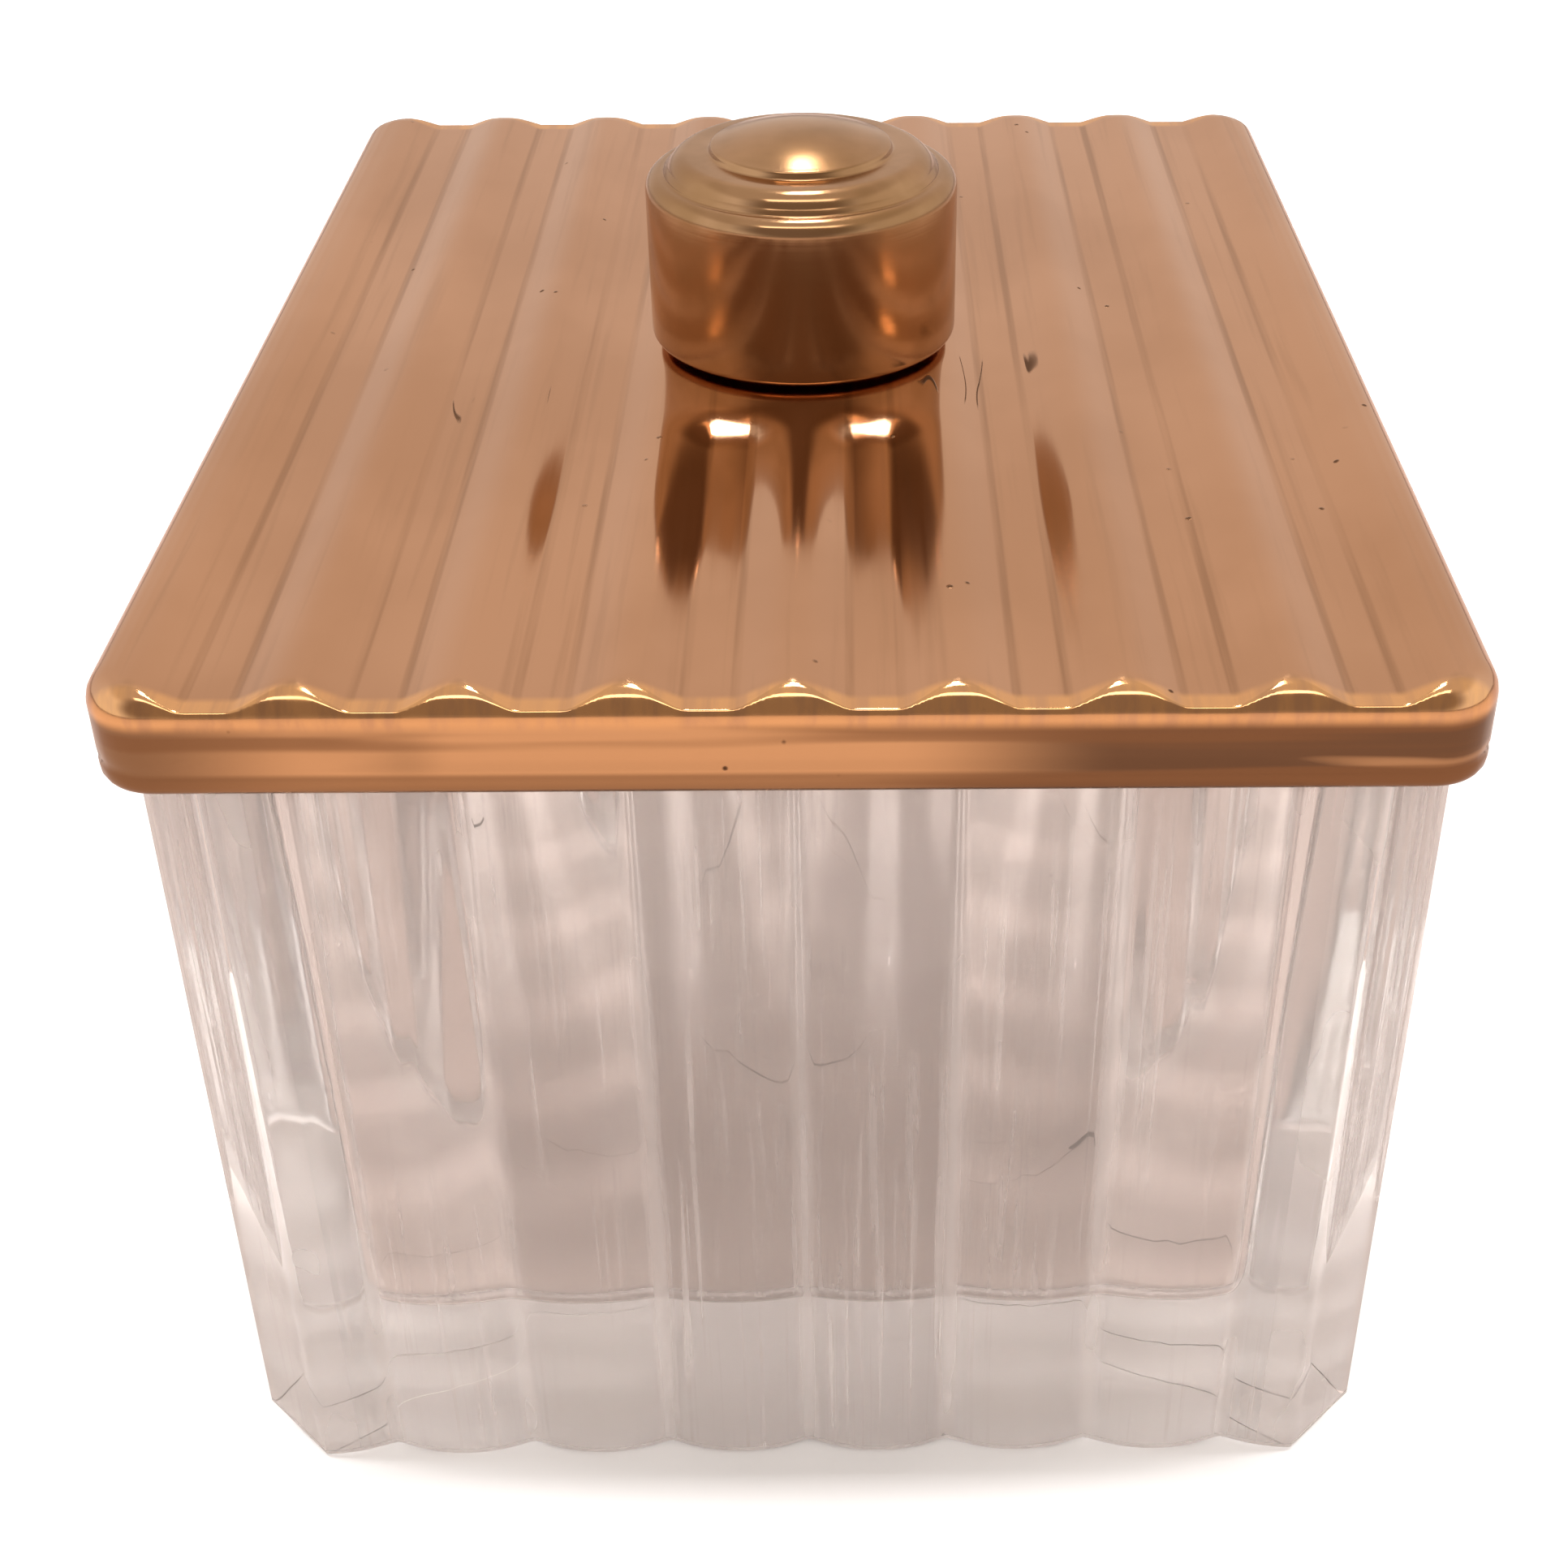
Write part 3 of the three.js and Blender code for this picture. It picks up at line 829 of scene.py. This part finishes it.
def make_floor():
    """A pale floor, which the glass and the brass show darker and warmer than it is."""
    mesh = bpy.data.meshes.new("floor")
    corners = [(-1, -1), (1, -1), (1, 1), (-1, 1)]
    mesh.from_pydata([(x * FLOOR_HALF, y * FLOOR_HALF, FLOOR_Z) for x, y in corners], [], [(0, 1, 2, 3)])
    material, tree, shader = new_material("floor")
    seen_straight = tree.nodes.new("ShaderNodeLightPath").outputs["Is Camera Ray"]
    feed(tree, shader.inputs["Base Color"], blend(tree, seen_straight, FLOOR_MIRRORED, FLOOR))
    shader.inputs["Roughness"].default_value = 0.7
    mesh.materials.append(material)
    floor = bpy.data.objects.new("floor", mesh)
    bpy.context.scene.collection.objects.link(floor)


def area_light(name, azimuth, elevation, size, radiance, color=NEUTRAL, mirrored=True):
    """A rectangular lamp aimed at the box. Azimuth 0 is behind the box and 90 on its left.

    A lamp that isn't mirrored lights things, but isn't reflected in the brass or the glass.
    """
    turn, rise = math.radians(azimuth), math.radians(elevation)
    away = Vector((-math.sin(turn) * math.cos(rise), math.cos(turn) * math.cos(rise), math.sin(rise)))
    data = bpy.data.lights.new(name, "AREA")
    data.shape = "RECTANGLE"
    data.size, data.size_y = size
    data.energy = radiance * math.pi * size[0] * size[1]
    data.color = color
    light = bpy.data.objects.new(name, data)
    light.location = LAMP_AIM + away * LAMP_DISTANCE
    light.visible_glossy = mirrored
    light.rotation_mode = "QUATERNION"
    light.rotation_quaternion = (-away).to_track_quat("-Z", "Y")
    bpy.context.scene.collection.objects.link(light)


def make_world():
    """A pale room, warmer behind the box, dimmer overhead and where the viewer stands."""
    world = bpy.data.worlds.new("studio")
    world.use_nodes = True
    tree = world.node_tree
    place = tree.nodes.new("ShaderNodeTexCoord")
    split = tree.nodes.new("ShaderNodeSeparateXYZ")
    towards_viewer = tree.nodes.new("ShaderNodeVectorMath")
    towards_viewer.operation = "DOT_PRODUCT"
    towards_viewer.inputs[1].default_value = (0, -math.cos(VIEWER_RISE), math.sin(VIEWER_RISE))
    tree.links.new(place.outputs["Generated"], split.inputs["Vector"])
    tree.links.new(place.outputs["Generated"], towards_viewer.inputs[0])
    behind = spread(tree, split.outputs["Y"], 0.2, 0.9)
    room = blend(tree, behind, ROOM, ROOM_BEHIND)
    overhead = spread(tree, split.outputs["Z"], 0.60, 0.80)
    room = blend(tree, overhead, room, ROOM_OVERHEAD)
    dim = spread(tree, towards_viewer.outputs["Value"], 0.60, 0.90)
    feed(tree, tree.nodes["Background"].inputs["Color"], blend(tree, dim, room, ROOM_VIEWER))
    tree.nodes["Background"].inputs["Strength"].default_value = 1.0
    bpy.context.scene.world = world


CAMERA_LENS = 52.95
CAMERA_SHIFT = -0.0478
CAMERA_TILT = math.radians(33.95)     # down from level
CAMERA_TURN = math.radians(0.286)     # to the right of straight ahead
CAMERA_ROLL = math.radians(-0.1845)
CAMERA_ASIDE = 3.71 * MM
CAMERA_BEFORE_LID = 127.56 * MM
CAMERA_ABOVE_RIDGES = 78.84 * MM


def make_camera():
    """A camera above the front of the box, looking down past the lid."""
    tilt, turn, roll = CAMERA_TILT, CAMERA_TURN, CAMERA_ROLL
    forward = Vector((
        math.sin(turn) * math.cos(tilt), math.cos(turn) * math.cos(tilt), -math.sin(tilt)
    ))
    level = Vector((math.cos(turn), -math.sin(turn), 0))
    upward = level.cross(forward)
    right = math.cos(roll) * level + math.sin(roll) * upward
    up = right.cross(forward)
    data = bpy.data.cameras.new("camera")
    data.lens = CAMERA_LENS
    data.sensor_width = 36
    data.shift_x = CAMERA_SHIFT
    data.clip_start = 0.01
    camera = bpy.data.objects.new("camera", data)
    spot = Vector((CAMERA_ASIDE, -LID_HALF_Y - CAMERA_BEFORE_LID, RIDGE_TOP + CAMERA_ABOVE_RIDGES))
    camera.matrix_world = Matrix((
        (right.x, up.x, -forward.x, spot.x),
        (right.y, up.y, -forward.y, spot.y),
        (right.z, up.z, -forward.z, spot.z),
        (0, 0, 0, 1),
    ))
    bpy.context.scene.collection.objects.link(camera)
    bpy.context.scene.camera = camera


# ---- Scene ----

def allow_glass_bounces():
    """Let light be reflected and bent again and again inside the thick glass."""
    cycles = bpy.context.scene.cycles
    cycles.max_bounces = 24
    cycles.transmission_bounces = 24
    cycles.glossy_bounces = 16
    cycles.transparent_max_bounces = 16


def light_stage():
    """Two lamps behind the box and a softbox in front, and lamps that don't show in the brass."""
    area_light("lamp", 0, 57, (0.1, 0.1), 40, LAMP)
    area_light("high_lamp", 0, 68.5, (0.2, 0.2), 14, LAMP)
    area_light("softbox", 180, 68, (0.9, 0.22), 3.2, SOFTBOX)
    area_light("tube_behind", 0, 42, (0.03, 0.2), 260, mirrored=False)
    area_light("lamp_left", 90, 69, (0.1, 0.5), 60, mirrored=False)
    area_light("lamp_right", -90, 69, (0.1, 0.5), 60, mirrored=False)
    area_light("fill_left", 150, 35, (0.3, 0.3), 8, mirrored=False)
    area_light("fill_right", -150, 35, (0.3, 0.3), 8, mirrored=False)


def finish_fastening():
    """Give the CAD screw and washer their material."""
    material = plain_brass_material()
    for name in ("knob_screw", "knob_washer"):
        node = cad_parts[name]
        node.data.materials.clear()
        node.data.materials.append(material)


make_floor()
make_world()
light_stage()
make_camera()
allow_glass_bounces()
bpy.context.scene.view_settings.view_transform = "Standard"

make_glass(glass_material())
make_lid(lid_material())
make_knob(knob_material())
finish_fastening()
